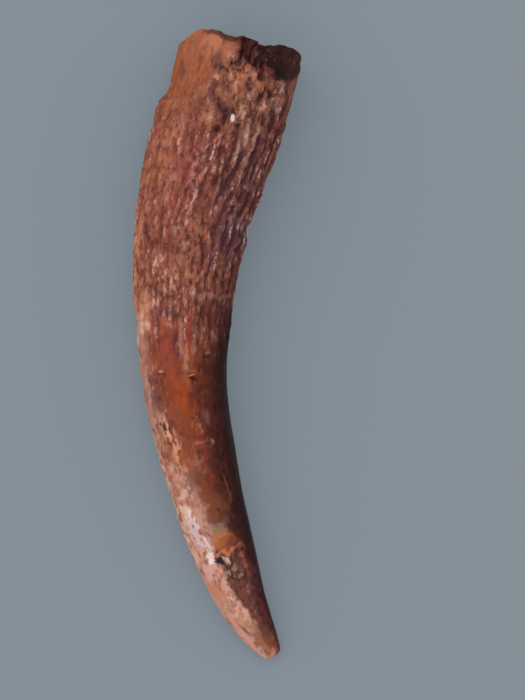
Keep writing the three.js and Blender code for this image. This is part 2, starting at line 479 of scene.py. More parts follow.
def relief(board, where, wrinkle):
    """How far the surface stands proud of the plain form, in mm."""
    # where the surface is rougher than elsewhere
    rough_part = where.patch((3.8, 75, 3.6, 46), soft=0.4)
    stone = where.patch((-0.2, 46, 2.7, 54), soft=0.2)
    worn_strip = where.patch((32, 168, 10.5, 46), "wavy", soft=0.2)
    flaked_tip = where.patch((45.6, 66, 3.8, 42, -4), soft=0.3)
    crushed = board.pushed(where.place, 0.7, 0.35)
    lumpy = board.noise(crushed, 0.9, 1.1, detail=3) - 0.5
    crumbly = board.noise(crushed, 0.45, 0.65, detail=3) - 0.5
    gentle = board.noise(where.place, 2.5, 6.0, detail=2) - 0.5
    height = wrinkle * WRINKLE_HEIGHT + gentle * 0.2 + crumbly * 0.05
    height = height + rough_part * (lumpy * 1.0 + crumbly * 0.9) + stone * (lumpy * 0.35 + crumbly * 0.6)
    height = height + worn_strip * crumbly * 0.3 + flaked_tip * (lumpy * 0.3 + crumbly * 0.4)
    for oval, depth, edge, soft in FLAKES.values():
        height = height - where.patch(oval, edge, soft, depth)
    for oval, rise, edge, soft in LUMPS.values():
        height = height + where.patch(oval, edge, soft, rise)
    return height


# %% [markdown]
# The break across the root isn't square. A curve round the rim says how far the wall has gone, and it dies
# out down the tooth and towards the middle of the cavity. The stone in the cavity is lumpy.

# %% The broken edge, and how a tree of Geometry Nodes begins and ends
# turn: s of the broken edge
ROOT_BREAK = {0: 0.1, 15: -0.1, 25: -0.2, 40: 0.3, 60: 0.55, 70: 0.2, 85: 0.1, 100: 0.4, 120: 0.2, 135: 0.3,
              147: 0.6, 156: 1.1, 180: 1.7, 205: 0.9, 240: 0.3, 280: 0.4, 320: 0.4, 345: 0.1, 360: 0.1}
BREAK_FADES = 6  # s where the uneven break no longer moves the surface
BREAK_RANGE = 2.0  # the curve below holds values from -2 to 2 mm


def rim_curve(board, turn):
    """How far down the tooth the wall is broken, in mm, read from a curve round the rim."""
    share = board.maths("FRACT", turn / (2 * math.pi) + 1)
    stops = [(turn / 360, (broken / BREAK_RANGE + 1) / 2) for turn, broken in ROOT_BREAK.items()]
    made = board.node("ShaderNodeFloatCurve", {}, {"Value": share}, stops)
    return (Value(board, made.outputs[0]) * 2 - 1) * BREAK_RANGE


def new_geometry_tree(name):
    """A Geometry Nodes tree with one mesh going in and one coming out."""
    tree = bpy.data.node_groups.new(name, "GeometryNodeTree")
    tree.interface.new_socket("Geometry", in_out="INPUT", socket_type="NodeSocketGeometry")
    tree.interface.new_socket("Geometry", in_out="OUTPUT", socket_type="NodeSocketGeometry")
    board = Board(tree)
    start = board.node("NodeGroupInput", {}, {}).outputs[0]
    return board, start


def store(board, geometry, name, kind, value):
    """Writes a value down on every point of the mesh."""
    settings = {"data_type": kind, "domain": "POINT"}
    sockets = {"Geometry": geometry, "Name": name, "Value": value}
    return board.node("GeometryNodeStoreNamedAttribute", settings, sockets).outputs[0]


def apply_nodes(thing, board, geometry, name):
    """Ends the tree, puts it on the object as a modifier and applies it."""
    board.node("NodeGroupOutput", {}, {0: geometry})
    modifier = thing.modifiers.new(name, "NODES")
    modifier.node_group = board.tree
    bpy.ops.object.modifier_apply(modifier=modifier.name)


print("the wall has gone by up to, mm:", max(ROOT_BREAK.values()))

# %% The relief's node tree
board, geometry = new_geometry_tree("relief")
position = board.node("GeometryNodeInputPosition", {}, {}).outputs[0]
across, y, up = board.parts(board.vector_maths("SCALE", position, scale=1 / MM))
rim = y * -1
turn = board.maths("ARCTAN2", up, across)
share = (across * across / half_width_at(0) ** 2 + up * up / half_depth_at(0) ** 2).root()
end_face = share.rise(1.0, 0.93) * rim.rise(1.2, 0.9)
jagged = (board.noise(position, 0.7 * MM, 0.7 * MM, detail=3) - 0.5) * rim.rise(1.0, 0.0)
broken = rim_curve(board, turn) * share.rise(0.0, 0.8) * rim.rise(BREAK_FADES, 0)
broken = broken + jagged * share.rise(0.7, 0.95) * 0.35
place = board.vector(across, rim + broken, up)
where = Places(board, place)
wrinkle = wrinkles(board, where)
height = relief(board, where, wrinkle) * board.mix(end_face, 1.0, share)
lumps = (board.noise(place, 0.8, 0.8, detail=4) - 0.5) * end_face * 0.4
outwards = board.vector_maths("NORMALIZE", board.vector(across, 0.0, up))
outwards = board.vector_maths("SCALE", outwards, scale=height * MM)
moved = board.vector_maths("ADD", outwards, board.vector(0.0, (lumps - broken) * MM, 0.0))
geometry = store(board, geometry, "straight", "FLOAT_VECTOR", place)
geometry = store(board, geometry, "wrinkle", "FLOAT", wrinkle)
geometry = store(board, geometry, "rim", "FLOAT", rim)
geometry = store(board, geometry, "end_face", "FLOAT", end_face)
geometry = board.node("GeometryNodeSetPosition", {}, {"Geometry": geometry, "Offset": moved}).outputs[0]
apply_nodes(tooth, board, geometry, "relief")
names = [attribute.name for attribute in tooth.data.attributes]
print("written down:", [name for name in names if not name.startswith(".")])

# %% [markdown]
# ## The bend
# The straight tooth is now laid on its curved axis. The axis is a curve object that starts a little before
# the root and turns by the lean at every step, and its radius carries the height of the axis above the
# floor. For each point of the tooth the nodes find the axis at the same distance, and put the point beside
# and above it. What would sink below the floor stays on it: that is the narrow flat that the tooth rests
# on.

# %% The curved axis
AXIS_STEP = 0.1
AXIS_START = -2.0


def axis_points():
    """The axis in mm, as (x, y, height), one point for each step."""
    points = [(0.0, 0.0, half_depth_at(AXIS_START) - REST_FLAT)]
    count = round((LENGTH + 1 - AXIS_START) / AXIS_STEP)
    for i in range(count):
        s = AXIS_START + i * AXIS_STEP
        lean = math.radians(lean_at(s + AXIS_STEP / 2))
        x, y, _ = points[-1]
        here = (x - AXIS_STEP * math.sin(lean), y - AXIS_STEP * math.cos(lean))
        points.append((*here, half_depth_at(s + AXIS_STEP) - REST_FLAT))
    return points


def axis_curve(points):
    """A poly curve along the axis whose radius is the height of the axis."""
    curve = bpy.data.curves.new("axis", "CURVE")
    curve.dimensions = "3D"
    spline = curve.splines.new("POLY")
    spline.points.add(len(points) - 1)
    for point, (x, y, axis_height) in zip(spline.points, points):
        point.co = (x * MM, y * MM, 0, 1)
        point.radius = axis_height * MM
    made = bpy.data.objects.new("axis", curve)
    bpy.context.scene.collection.objects.link(made)
    return made


axis = axis_curve(axis_points())
board, geometry = new_geometry_tree("bend")
info = board.node("GeometryNodeObjectInfo", {}, {"Object": axis})
position = board.node("GeometryNodeInputPosition", {}, {}).outputs[0]
across, y, up = board.parts(position)
radius = board.node("GeometryNodeInputRadius", {}, {}).outputs[0]
settings = {"mode": "LENGTH", "data_type": "FLOAT", "use_all_curves": True}
sockets = {"Curves": info.outputs["Geometry"], "Value": radius, "Length": y * -1 - AXIS_START * MM}
sample = board.node("GeometryNodeSampleCurve", settings, sockets)
axis_height = Value(board, board.socket(sample.outputs, "Value"))
side = board.vector_maths("CROSS_PRODUCT", (0, 0, 1), sample.outputs["Tangent"])
beside = board.vector_maths("SCALE", side, scale=across)
x, y, _ = board.parts(board.vector_maths("ADD", sample.outputs["Position"], beside))
bent = board.vector(x, y, board.maths("MAXIMUM", up + axis_height, 0.0))
geometry = board.node("GeometryNodeSetPosition", {}, {"Geometry": geometry, "Position": bent}).outputs[0]
apply_nodes(tooth, board, geometry, "bend")
bpy.data.objects.remove(axis)

# %% Put it where the solid is
corners = [Vector(corner) for corner in tooth.bound_box]
middle = sum(corners, Vector()) / 8
shift = (cad_low + cad_high) / 2 - middle
tooth.location = (shift.x, shift.y, 0)
bpy.ops.object.transform_apply(location=True, rotation=False, scale=False)
bpy.ops.object.shade_smooth()
print("bent tooth, mm:", [round(1000 * side, 2) for side in tooth.dimensions])

# %% [markdown]
# ## The colours
# Stone has coloured this tooth unevenly: iron gives reds and oranges, manganese gives purples and black,
# and where the surface has flaked off the inside is cream. Painting it by hand on an image would tie the
# look to one map. Instead one material adds layer on layer: a ground that changes down the tooth, the
# wrinkles' crests and valleys with painted highlights and painted shade, then stains and flecks, and last
# the broken places.

# %% Paints
def plain_light(level):
    """One level of a screen colour, from 0 to 255, as plain light from 0 to 1."""
    if level <= 10:
        return level / 255 / 12.92
    return ((level / 255 + 0.055) / 1.055) ** 2.4


def paint(red, green, blue):
    """A screen colour as the plain light that Blender mixes."""
    return (plain_light(red), plain_light(green), plain_light(blue), 1)


RED_BROWN = paint(132, 72, 60)
ORANGE_BROWN = paint(154, 88, 66)
PURPLE_BROWN = paint(98, 60, 60)
MAROON = paint(62, 26, 27)
PURPLE = paint(98, 62, 68)
NEAR_BLACK = paint(34, 11, 9)
PALE_PINK = paint(214, 172, 166)
CREAM = paint(208, 158, 136)
WHITE_PINK = paint(240, 218, 214)
TAN = paint(172, 116, 90)
SALMON = paint(190, 120, 90)
# ramps, as (place, paint)
BEAD_PAINTS = [(0.0, paint(52, 24, 30)), (0.15, paint(124, 42, 46)), (0.27, paint(92, 52, 56)),
               (0.38, paint(164, 82, 54)), (0.48, paint(122, 66, 56)), (0.58, paint(186, 116, 78)),
               (0.7, paint(126, 70, 80)), (0.84, paint(178, 108, 96)), (1.0, paint(196, 138, 124))]
CROWN_PAINTS = [(0.38, paint(66, 24, 18)), (0.45, paint(100, 40, 22)), (0.5, paint(128, 58, 22)),
                (0.55, paint(120, 52, 28)), (0.63, paint(158, 88, 54))]
CHIP_PAINTS = [(0.36, paint(44, 22, 26)), (0.44, paint(84, 44, 44)), (0.5, paint(116, 64, 50)),
               (0.56, paint(96, 60, 64)), (0.62, paint(150, 104, 86)), (0.7, paint(186, 146, 122))]
ROUGH_PAINTS = [(0.3, paint(44, 20, 22)), (0.38, paint(98, 54, 50)), (0.44, paint(130, 86, 56)),
                (0.5, paint(180, 108, 76)), (0.56, paint(110, 62, 66)), (0.62, paint(152, 92, 64)),
                (0.72, paint(206, 152, 124))]
STRIP_PAINTS = [(0.32, paint(124, 70, 60)), (0.42, paint(176, 112, 88)), (0.5, paint(212, 154, 130)),
                (0.6, paint(224, 180, 160)), (0.72, paint(178, 124, 118))]
print("hues of a bead:", len(BEAD_PAINTS))

# %% The material's ground
CROWN_STARTS, CROWN_WHOLE = 22.5, 27
fossil = bpy.data.materials.new("fossil")
fossil.use_nodes = True
fossil.node_tree.nodes.clear()
board = Board(fossil.node_tree)


def written(board, name, output):
    """What the mesh has written down under this name."""
    made = board.node("ShaderNodeAttribute", {"attribute_type": "GEOMETRY", "attribute_name": name}, {})
    return made.outputs[output]


def coat(board, mask, under, over):
    """Colour over colour, as thick as the mask says."""
    made = board.node("ShaderNodeMix", {"data_type": "RGBA"}, {"Factor": mask, "A": under, "B": over})
    return board.socket(made.outputs, "Result")


def ramp(board, value, stops):
    """A colour picked from a ramp by a number."""
    return board.node("ShaderNodeValToRGB", {}, {0: value}, stops).outputs[0]


place = written(board, "straight", "Vector")
wrinkle = Value(board, written(board, "wrinkle", "Fac"))
end_face = Value(board, written(board, "end_face", "Fac"))
rim = Value(board, written(board, "rim", "Fac"))
where = Places(board, place)
# noises from coarse to fine
cloudy = board.noise(place, 2.6, 4.0, detail=3)
patchy = board.noise(place, 1.6, 2.4, detail=2)
mottled = board.noise(place, 0.8, 1.1, detail=3)
streaky = board.noise(place, 0.42, 1.5, detail=3)
flecked = board.noise(place, 0.3, 0.6, detail=2)
grainy = board.noise(place, 0.17, 0.26, detail=3)
outer_side = where.turn.cos() * -1  # 1 at the outside of the curve, -1 at the inside
crown = where.s.rise(CROWN_STARTS, CROWN_WHOLE)
on_root = where.s.rise(CROWN_WHOLE, CROWN_STARTS)

# the root goes from orange brown outside to purple brown inside, and the crown is smooth
root = coat(board, (cloudy + outer_side * 0.14).rise(0.4, 0.6), RED_BROWN, ORANGE_BROWN)
root = coat(board, (cloudy + outer_side * 0.28).rise(0.42, 0.22, 0.85), root, PURPLE_BROWN)
smooth = ramp(board, streaky * 0.4 + mottled * 0.3 + cloudy * 0.3, CROWN_PAINTS)
colour = coat(board, crown, root, smooth)
print("ground:", len(fossil.node_tree.nodes), "nodes")

# %% [markdown]
# ## Beads, valleys and crests
# Each bead of the root has taken up its own tint. The cells that raised the beads pick one from a ramp,
# and a second set of small, crooked cells splits them further, since a bead is seldom of one colour. The
# valleys and the gaps between the beads are painted maroon as shade, and the highest crests are painted
# pale as highlights.

# %% Beads, valleys, crests and grain
# the tint of each bead, and warm and crimson patches over it
chance, edge = beads(board, place)
crooked = board.pushed(board.pushed(place, 0.8, 0.3), 0.25, 0.07)
small_chance, small_edge = board.cells(crooked, 0.27, 0.8)
hues = board.noise(place, 0.8, 2.2, detail=2).rise(0.3, 0.7)
bead_hue = (hues * 0.3 + chance * 0.3 + small_chance * 0.4 - 0.5) * 1.5 + 0.5
colour = coat(board, on_root * (0.74 - outer_side * 0.18), colour, ramp(board, bead_hue, BEAD_PAINTS))
colour = coat(board, patchy.rise(0.54, 0.66, 0.3) * on_root, colour, paint(160, 100, 64))
colour = coat(board, patchy.rise(0.46, 0.34, 0.35) * on_root, colour, paint(124, 44, 46))
# painted shade between the beads and in the valleys
gap_shade = edge.rise(0.1, 0.0, 0.3) + small_edge.rise(0.12, 0.0, 0.35)
colour = coat(board, gap_shade * on_root * (0.8 - outer_side * 0.3), colour, MAROON)
valley_shade = wrinkle.rise(-0.05, -0.7, 0.6) * (1 - outer_side * 0.45)
colour = coat(board, valley_shade, colour, MAROON)
# painted highlights on the crests, in the middle of some of the small cells
core = small_edge.rise(0.04, 0.2) * small_chance.rise(0.52, 0.66)
pale = wrinkle.rise(-0.1, 0.4) * core * patchy.rise(0.4, 0.52, 0.7)
colour = coat(board, pale, colour, PALE_PINK)
# flecks and grain
colour = coat(board, flecked.rise(0.62, 0.74, 0.35) * on_root, colour, TAN)
colour = coat(board, flecked.rise(0.38, 0.28, 0.4) * on_root, colour, PURPLE)
colour = coat(board, grainy.rise(0.5, 0.3, 0.35), colour, MAROON)
colour = coat(board, grainy.rise(0.58, 0.74, 0.2) * on_root, colour, PALE_PINK)
print("with the beads:", len(fossil.node_tree.nodes), "nodes")

# %% [markdown]
# ## Stains and broken places
# No two stains of this tooth are alike, so each is an oval of its own with its own paint, laid over those
# before it, as one would dab them on. A few ovals are painted light instead: shade on the inner side and on
# the stone, light on the outer flank, and glints on a bead and in the pits. The first list covers the whole
# tooth, the second the places where its skin is worn or broken off, and the third the worn tip. Most edges
# are torn, or the ovals would show.

# %% Stains
WORN_STRIP = (29.2, 178, 6.7, 38)
LOWER_WORN_STRIP = (38.9, 165, 5.0, 58)
# an oval, the paint, its edge, how soft that is and how thickly it covers
STAINS_AND_PAINTED_LIGHT = {
    "shade in the rough part": ((5.6, 92, 1.8, 14), paint(104, 60, 54), "torn", 0.5, 0.5),
    "orange band": ((2.8, 154, 4.6, 42), paint(168, 92, 54), "ragged", 0.25, 0.88),
    "salmon of the band": ((1.6, 162, 2.6, 14), paint(198, 122, 86), "torn", 0.8, 0.6),
    "salmon top of the band": ((1.0, 126, 1.8, 20), paint(178, 104, 78), "ragged", 0.8, 0.7),
    "mottles of the band": ((3.4, 144, 3.0, 26), paint(116, 64, 44), "torn", 0.9, 0.6),
    "salmon flecks of the band": ((3.0, 158, 3.0, 16), paint(200, 124, 88), "torn", 0.9, 0.45),
    "brown of the band": ((3.4, 150, 3.4, 18), paint(132, 78, 50), "torn", 0.7, 0.6),
    "edge of the band": ((3.0, 176, 4.2, 16), paint(160, 78, 44), "wavy", 0.5, 0.5),
    "foot of the band": ((5.7, 142, 1.6, 28), paint(112, 58, 44), "torn", 0.8, 0.9),
    "bloom of the band": ((1.2, 116, 1.0, 14), SALMON, "wavy", 0.7, 0.6),
    "dark stone": ((-0.2, 46, 2.9, 53), paint(42, 13, 12), "ragged", 0.08, 1.0),
    "brown of the stone": ((0.9, 16, 1.2, 20), paint(78, 42, 38), "torn", 0.6, 0.6),
    "red of the stone": ((0.6, 78, 0.8, 10), paint(78, 32, 26), "torn", 0.6, 0.6),
    # painted shade: the darkest part of the stone, in the recess beside the broken wall
    "painted shade on the stone": ((2.2, 38, 0.8, 14), paint(20, 10, 10), "ragged", 0.6, 0.85),
    "salmon rim": ((1.0, 98, 1.0, 9), paint(170, 100, 74), "ragged", 0.4, 0.8),
    "purple shade of the rim": ((2.4, 107, 0.8, 7), paint(104, 62, 62), "ragged", 0.7, 0.7),
    "purple spot": ((4.8, 104, 0.9, 4), paint(92, 50, 58), "ragged", 0.6, 0.7),
    "salmon lump": ((3.1, 78, 0.8, 9), SALMON, "torn", 0.7, 0.8),
    "second salmon lump": ((4.8, 84, 0.8, 9), paint(176, 112, 86), "torn", 0.7, 0.6),
    "dark hollow": ((4.4, 94, 0.9, 7), paint(84, 44, 44), "torn", 0.7, 0.8),
    "second dark hollow": ((6.0, 84, 0.7, 6), paint(92, 50, 44), "torn", 0.7, 0.8),
    "third dark hollow": ((3.4, 66, 0.8, 8), paint(96, 48, 52), "torn", 0.7, 0.7),
    "olive hollow": ((5.6, 76, 0.7, 7), paint(128, 86, 54), "torn", 0.7, 0.7),
    "yellow fleck": ((3.5, 58, 0.28, 3), paint(198, 134, 88), "soft", 0.6, 0.8),
    "second yellow fleck": ((5.0, 97, 0.35, 3.5), paint(170, 114, 78), "soft", 0.6, 0.7),
    "pale fleck of the inner side": ((3.8, 33, 0.9, 5), paint(196, 166, 146), "torn", 0.5, 1.0),
    "red spot": ((2.3, 53, 0.6, 6), paint(120, 50, 48), "torn", 0.5, 0.8),
    "pale crest": ((7.5, 56, 0.9, 3.2), paint(198, 150, 118), "ragged", 0.6, 0.95),
    "second pale crest": ((7.4, 46, 0.7, 2.4), paint(190, 146, 122), "ragged", 0.6, 0.9),
    "third pale crest": ((9.0, 60, 0.9, 1.8), paint(186, 136, 116), "ragged", 0.6, 0.8),
    "fourth pale crest": ((8.8, 47, 0.8, 2), paint(190, 148, 128), "ragged", 0.6, 0.9),
    "fifth pale crest": ((11.5, 35, 0.4, 2.4), paint(190, 156, 150), "ragged", 0.6, 0.8),
    "pink streak": ((11.4, 102, 1.3, 2.6), paint(190, 136, 130), "torn", 0.5, 0.9),
    "second pink streak": ((13.4, 95, 1.1, 2.4), paint(206, 164, 164), "torn", 0.5, 1.0),
    "third pink streak": ((15.9, 105, 1.0, 2.4), paint(196, 150, 150), "torn", 0.5, 0.9),
    "fourth pink streak": ((19.8, 104, 0.9, 2.6), paint(206, 160, 144), "torn", 0.5, 0.9),
    "fifth pink streak": ((20.0, 118, 0.8, 2.6), paint(200, 150, 130), "torn", 0.5, 0.9),
    "sixth pink streak": ((21.2, 98, 0.6, 2.4), paint(210, 160, 156), "torn", 0.5, 0.9),
    "pale loop of the inner side": ((14.6, 26, 0.6, 6), paint(186, 150, 146), "torn", 0.4, 0.9),
    "pale wisp": ((17.2, 92, 0.18, 6), paint(178, 128, 112), "torn", 0.6, 0.7),
    "dark spot below the wisp": ((17.45, 84, 0.3, 4), paint(58, 28, 32), "ragged", 0.5, 0.8),
    "dark pit": ((7.7, 88, 0.3, 3.2), paint(56, 22, 22), "soft", 0.4, 0.9),
    "ringed pit's rim": ((3.25, 67, 0.42, 4.5), paint(190, 128, 110), "wavy", 0.3, 0.8),
    "ringed pit": ((3.3, 67, 0.22, 2.2), paint(80, 36, 36), "soft", 0.4, 0.9),
    # painted highlight: a white glint on the raised bead
    "painted glint on the bead": ((6.6, 76, 0.3, 2.2), paint(236, 216, 210), "soft", 0.35, 0.95),
    "dark patch below the growth line": ((22.5, 38, 1.35, 30), paint(92, 50, 40), "ragged", 0.2, 0.6),
    "purple of that patch": ((22.3, 18, 1.2, 18), paint(70, 50, 56), "torn", 0.7, 0.8),
    "growth line": ((21.15, 42, 0.16, 34), paint(166, 118, 104), "wavy", 0.7, 0.55),
    "purple bump": ((15.9, 8, 0.8, 18), paint(78, 56, 62), "ragged", 0.4, 0.8),
    # partly the flank's orange tint and partly painted light, brightening the outer flank as if lit from the
    # left
    "painted light on the orange flank": ((19.5, 172, 6.5, 20), paint(206, 130, 96), "torn", 0.6, 0.7),
    "bright foot of the flank": ((22.8, 147, 1.4, 10), paint(220, 148, 114), "ragged", 0.8, 0.85),
    "cream foot of the flank": ((23.7, 151, 0.7, 8), paint(236, 194, 174), "ragged", 0.6, 0.85),
    "salmon of the outer side": ((9.5, 142, 4.5, 22), paint(184, 112, 82), "torn", 0.9, 0.6),
    "tan of the middle": ((17.5, 88, 4.0, 26), paint(176, 112, 84), "torn", 0.9, 0.4),
    "crimson of the root": ((12.9, 109, 3.4, 13), paint(144, 50, 56), "torn", 0.9, 0.5),
    "mauve of the root": ((11.5, 46, 5.5, 24), paint(92, 56, 66), "torn", 0.9, 0.5),
    # painted shade: the inner side of the root, turned away from the lamp, is darkened in two ovals
    "painted shade of the inner side": ((13.0, 6, 12.0, 46), paint(74, 41, 45), "soft", 0.7, 0.36),
    "lower painted shade of the inner side": ((17.5, 14, 5.0, 38), paint(66, 38, 42), "wavy", 0.9, 0.3),
    "mauve round the bump": ((16.2, 36, 2.2, 24), paint(84, 54, 62), "torn", 0.7, 0.7),
    "orange streak": ((16.0, 68, 1.1, 3.4), paint(172, 84, 50), "torn", 0.7, 0.7),
    "second orange streak": ((15.5, 77, 1.0, 4.5), paint(178, 114, 78), "torn", 0.7, 0.6),
    "third orange streak": ((18.6, 84, 0.9, 3), paint(180, 110, 70), "torn", 0.7, 0.8),
    "yellow patch": ((18.9, 48, 1.1, 7), paint(154, 96, 58), "torn", 0.7, 0.6),
    "red streak": ((25.4, 113, 1.9, 11), paint(146, 60, 44), "wavy", 0.4, 0.75),
    "second red streak": ((24.2, 81, 1.7, 4.5), paint(148, 54, 38), "wavy", 0.6, 0.7),
    "crimson streak": ((25.2, 99, 1.7, 4), paint(122, 38, 40), "wavy", 0.4, 0.8),
    "pale streak": ((24.2, 92, 1.6, 2.5), paint(176, 120, 104), "wavy", 0.5, 0.6),
    "tan streak": ((24.4, 73, 1.6, 3.5), paint(160, 108, 88), "ragged", 0.5, 0.7),
    "dark streak": ((25.0, 65, 1.4, 4), paint(96, 44, 38), "wavy", 0.5, 0.6),
    "second dark streak": ((25.0, 106, 1.5, 2.5), paint(104, 46, 38), "wavy", 0.5, 0.6),
    "mottled streak": ((26.1, 88, 1.0, 4.5, -5), TAN, "torn", 0.5, 0.8),
    "dark of the crown's pit": ((27.85, 75, 0.24, 4.5, -20), paint(44, 20, 18), "soft", 0.4, 0.9),
    "glint of the crown's pit": ((27.62, 78, 0.1, 3.6, 30), paint(204, 146, 104), "soft", 0.5, 0.8),
    "dark of the second pit": ((26.15, 50, 0.16, 6), paint(58, 26, 22), "soft", 0.4, 0.9),
    "glint of the second pit": ((25.85, 50, 0.1, 4), paint(190, 130, 104), "soft", 0.4, 0.9),
    "dark of the outer pit": ((27.4, 124, 0.12, 7), paint(70, 34, 30), "soft", 0.4, 0.9),
    "glint of the outer pit": ((27.15, 123, 0.1, 4), paint(206, 156, 132), "soft", 0.4, 0.9),
    "brown above the amber": ((30.2, 112, 3.4, 14), paint(142, 70, 46), "torn", 0.9, 0.6),
    "red round the amber": ((29.6, 96, 2.8, 18, -4), paint(132, 54, 26), "wavy", 0.8, 0.6),
    "amber": ((29.3, 95, 1.6, 11, -6), paint(158, 64, 8), "soft", 0.9, 0.75),
    # the inner side of the crown is partly a dark stain and partly painted shade of the side turned from the
    # lamp
    "inner side": ((34.9, 0, 13.4, 72), paint(90, 38, 28), "ragged", 0.25, 0.75),
    "dark inner side with painted shade": ((35.2, 0, 13.2, 60), NEAR_BLACK, "ragged", 0.2, 0.96),
    "red mottles of the inner side": ((34.5, 50, 12, 14), paint(88, 36, 28), "torn", 0.9, 0.45),
    "tan of the crown": ((33.3, 108, 2.6, 14), paint(146, 76, 52), "wavy", 0.8, 0.4),
    "maroon beside the amber": ((30.6, 66, 3.2, 14), paint(78, 26, 20), "torn", 0.8, 0.75),
    "maroon of the lower crown": ((36.4, 62, 2.6, 16), paint(74, 28, 22), "torn", 0.9, 0.7),
    "pink tan patch": ((34.8, 94, 0.8, 13), paint(162, 98, 76), "torn", 0.6, 0.6),
    "thin pale flake": ((32.9, 77, 0.14, 9, 40), paint(190, 140, 114), "wavy", 0.6, 0.55),
    "dark spot of the crown": ((31.8, 70, 0.9, 8), paint(70, 32, 34), "torn", 0.6, 0.7),
    "red spot of the crown": ((33.4, 78, 1.2, 9), paint(130, 50, 34), "ragged", 0.6, 0.6),
    "brown spot of the crown": ((36.2, 98, 1.0, 12), paint(104, 62, 46), "ragged", 0.7, 0.6),
    "round pale flake": ((33.3, 64, 0.35, 6), paint(184, 132, 108), "torn", 0.6, 0.6),
    "tall tan flake": ((31.8, 81, 0.8, 3), paint(168, 112, 80), "torn", 0.6, 0.5),
    "grey pink flake": ((31.2, 66, 0.7, 5), paint(128, 80, 68), "ragged", 0.7, 0.6),
    "pale scratch": ((37.0, 50, 1.1, 2, -4), paint(140, 92, 74), "wavy", 0.7, 0.4),
    "red orange patch": ((37.0, 82, 0.9, 14), paint(130, 54, 30), "ragged", 0.7, 0.5),
    "brown of the lower crown": ((38.7, 88, 1.8, 24), paint(108, 66, 44), "torn", 0.8, 0.75),
    "worn strip": (WORN_STRIP, paint(186, 134, 110), "ragged", 0.3, 0.7),
    "lower worn strip": (LOWER_WORN_STRIP, CREAM, "ragged", 0.25, 0.85),
}
print("stains:", len(STAINS_AND_PAINTED_LIGHT))

# %% Marks of the worn and broken places
WORN_MARKS = {
    "brown of the strip": ((27.8, 148, 4.2, 24), paint(136, 66, 50), "torn", 0.8, 0.9),
    "brown inner edge of the strip": ((31.5, 128, 3.0, 10), paint(128, 72, 54), "torn", 0.7, 0.8),
    "purple shade of the strip": ((28.8, 140, 1.5, 12), paint(104, 60, 58), "torn", 0.6, 0.8),
    "pink stripe": ((31.1, 133, 1.3, 10, -7), paint(228, 172, 148), "torn", 0.8, 0.95),
    "foot of the pink stripe": ((33.2, 128, 1.5, 10, -7), paint(212, 140, 104), "torn", 0.8, 0.9),
    "purple mottles of the strip": ((29.8, 144, 1.6, 14), paint(112, 66, 62), "torn", 0.9, 0.6),
    "tan of the lower strip": ((35.0, 124, 0.6, 8), paint(200, 138, 106), "torn", 0.7, 0.8),
    "brown of the lower strip": ((36.1, 138, 0.6, 24), paint(146, 90, 70), "torn", 0.8, 0.8),
    "brown outer edge of the lower strip": ((35.4, 150, 1.3, 10), paint(134, 86, 72), "torn", 0.8, 0.7),
    "pale outer edge": ((28.4, 156, 4.0, 8), paint(190, 140, 122), "torn", 0.6, 0.8),
    "brown edge of the lower strip": ((37.6, 112, 2.6, 9), paint(138, 82, 64), "torn", 0.9, 0.6),
    "purple beside the honey patch": ((40.2, 99, 1.5, 6), paint(118, 84, 86), "torn", 0.7, 0.7),
    "orange edge": ((34.8, 150, 1.0, 8), paint(180, 78, 52), "torn", 0.5, 0.9),
    "grey of the strip": ((36.3, 116, 1.0, 8), paint(110, 78, 80), "torn", 0.5, 0.8),
    "upper white patch": ((39.0, 128, 1.0, 12), WHITE_PINK, "torn", 0.5, 0.9),
    "white band": ((41.0, 127, 1.9, 12, -5), WHITE_PINK, "torn", 0.4, 1.0),
    "white of the band's foot": ((42.2, 121, 0.7, 8, -5), WHITE_PINK, "ragged", 0.3, 0.75),
    "purple dots of the band": ((40.4, 134, 1.8, 16), paint(128, 88, 104), "torn", 0.6, 0.45),
    "lilac patch": ((39.8, 106, 1.7, 7), paint(190, 146, 144), "torn", 0.5, 0.6),
    "pale grey of the honey patch": ((40.35, 86, 0.6, 16), paint(148, 114, 90), "ragged", 0.5, 0.75),
    "purple band": ((39.7, 74, 0.35, 18), paint(84, 58, 62), "torn", 0.5, 0.9),
    "honey patch": ((41.2, 86, 0.6, 17), paint(182, 104, 56), "wavy", 0.45, 0.85),
    "brown of the honey patch": ((41.3, 78, 0.5, 14), paint(130, 76, 52), "torn", 0.6, 0.7),
    "dark floor of the chip": ((43.6, 78, 1.3, 32), paint(84, 50, 50), "torn", 0.5, 0.7),
    "orange line": ((42.15, 84, 0.2, 26), paint(204, 118, 84), "ragged", 0.6, 0.9),
    "cream chip": ((42.85, 88, 0.4, 13), paint(212, 174, 160), "torn", 0.6, 1.0),
    "second cream chip": ((43.6, 72, 0.4, 7), paint(172, 136, 120), "torn", 0.6, 0.8),
    "black of the chip": ((42.8, 104, 0.3, 11), paint(34, 22, 26), "ragged", 0.2, 0.95),
    "second black of the chip": ((43.0, 76, 0.5, 6), paint(46, 30, 36), "ragged", 0.2, 0.9),
    "tan flake": ((44.2, 85, 0.25, 14), paint(182, 144, 122), "torn", 0.5, 1.0),
    "orange edge of the chip": ((43.6, 50, 1.1, 5), paint(180, 106, 74), "torn", 0.5, 0.9),
}
print("marks of the worn places:", len(WORN_MARKS))

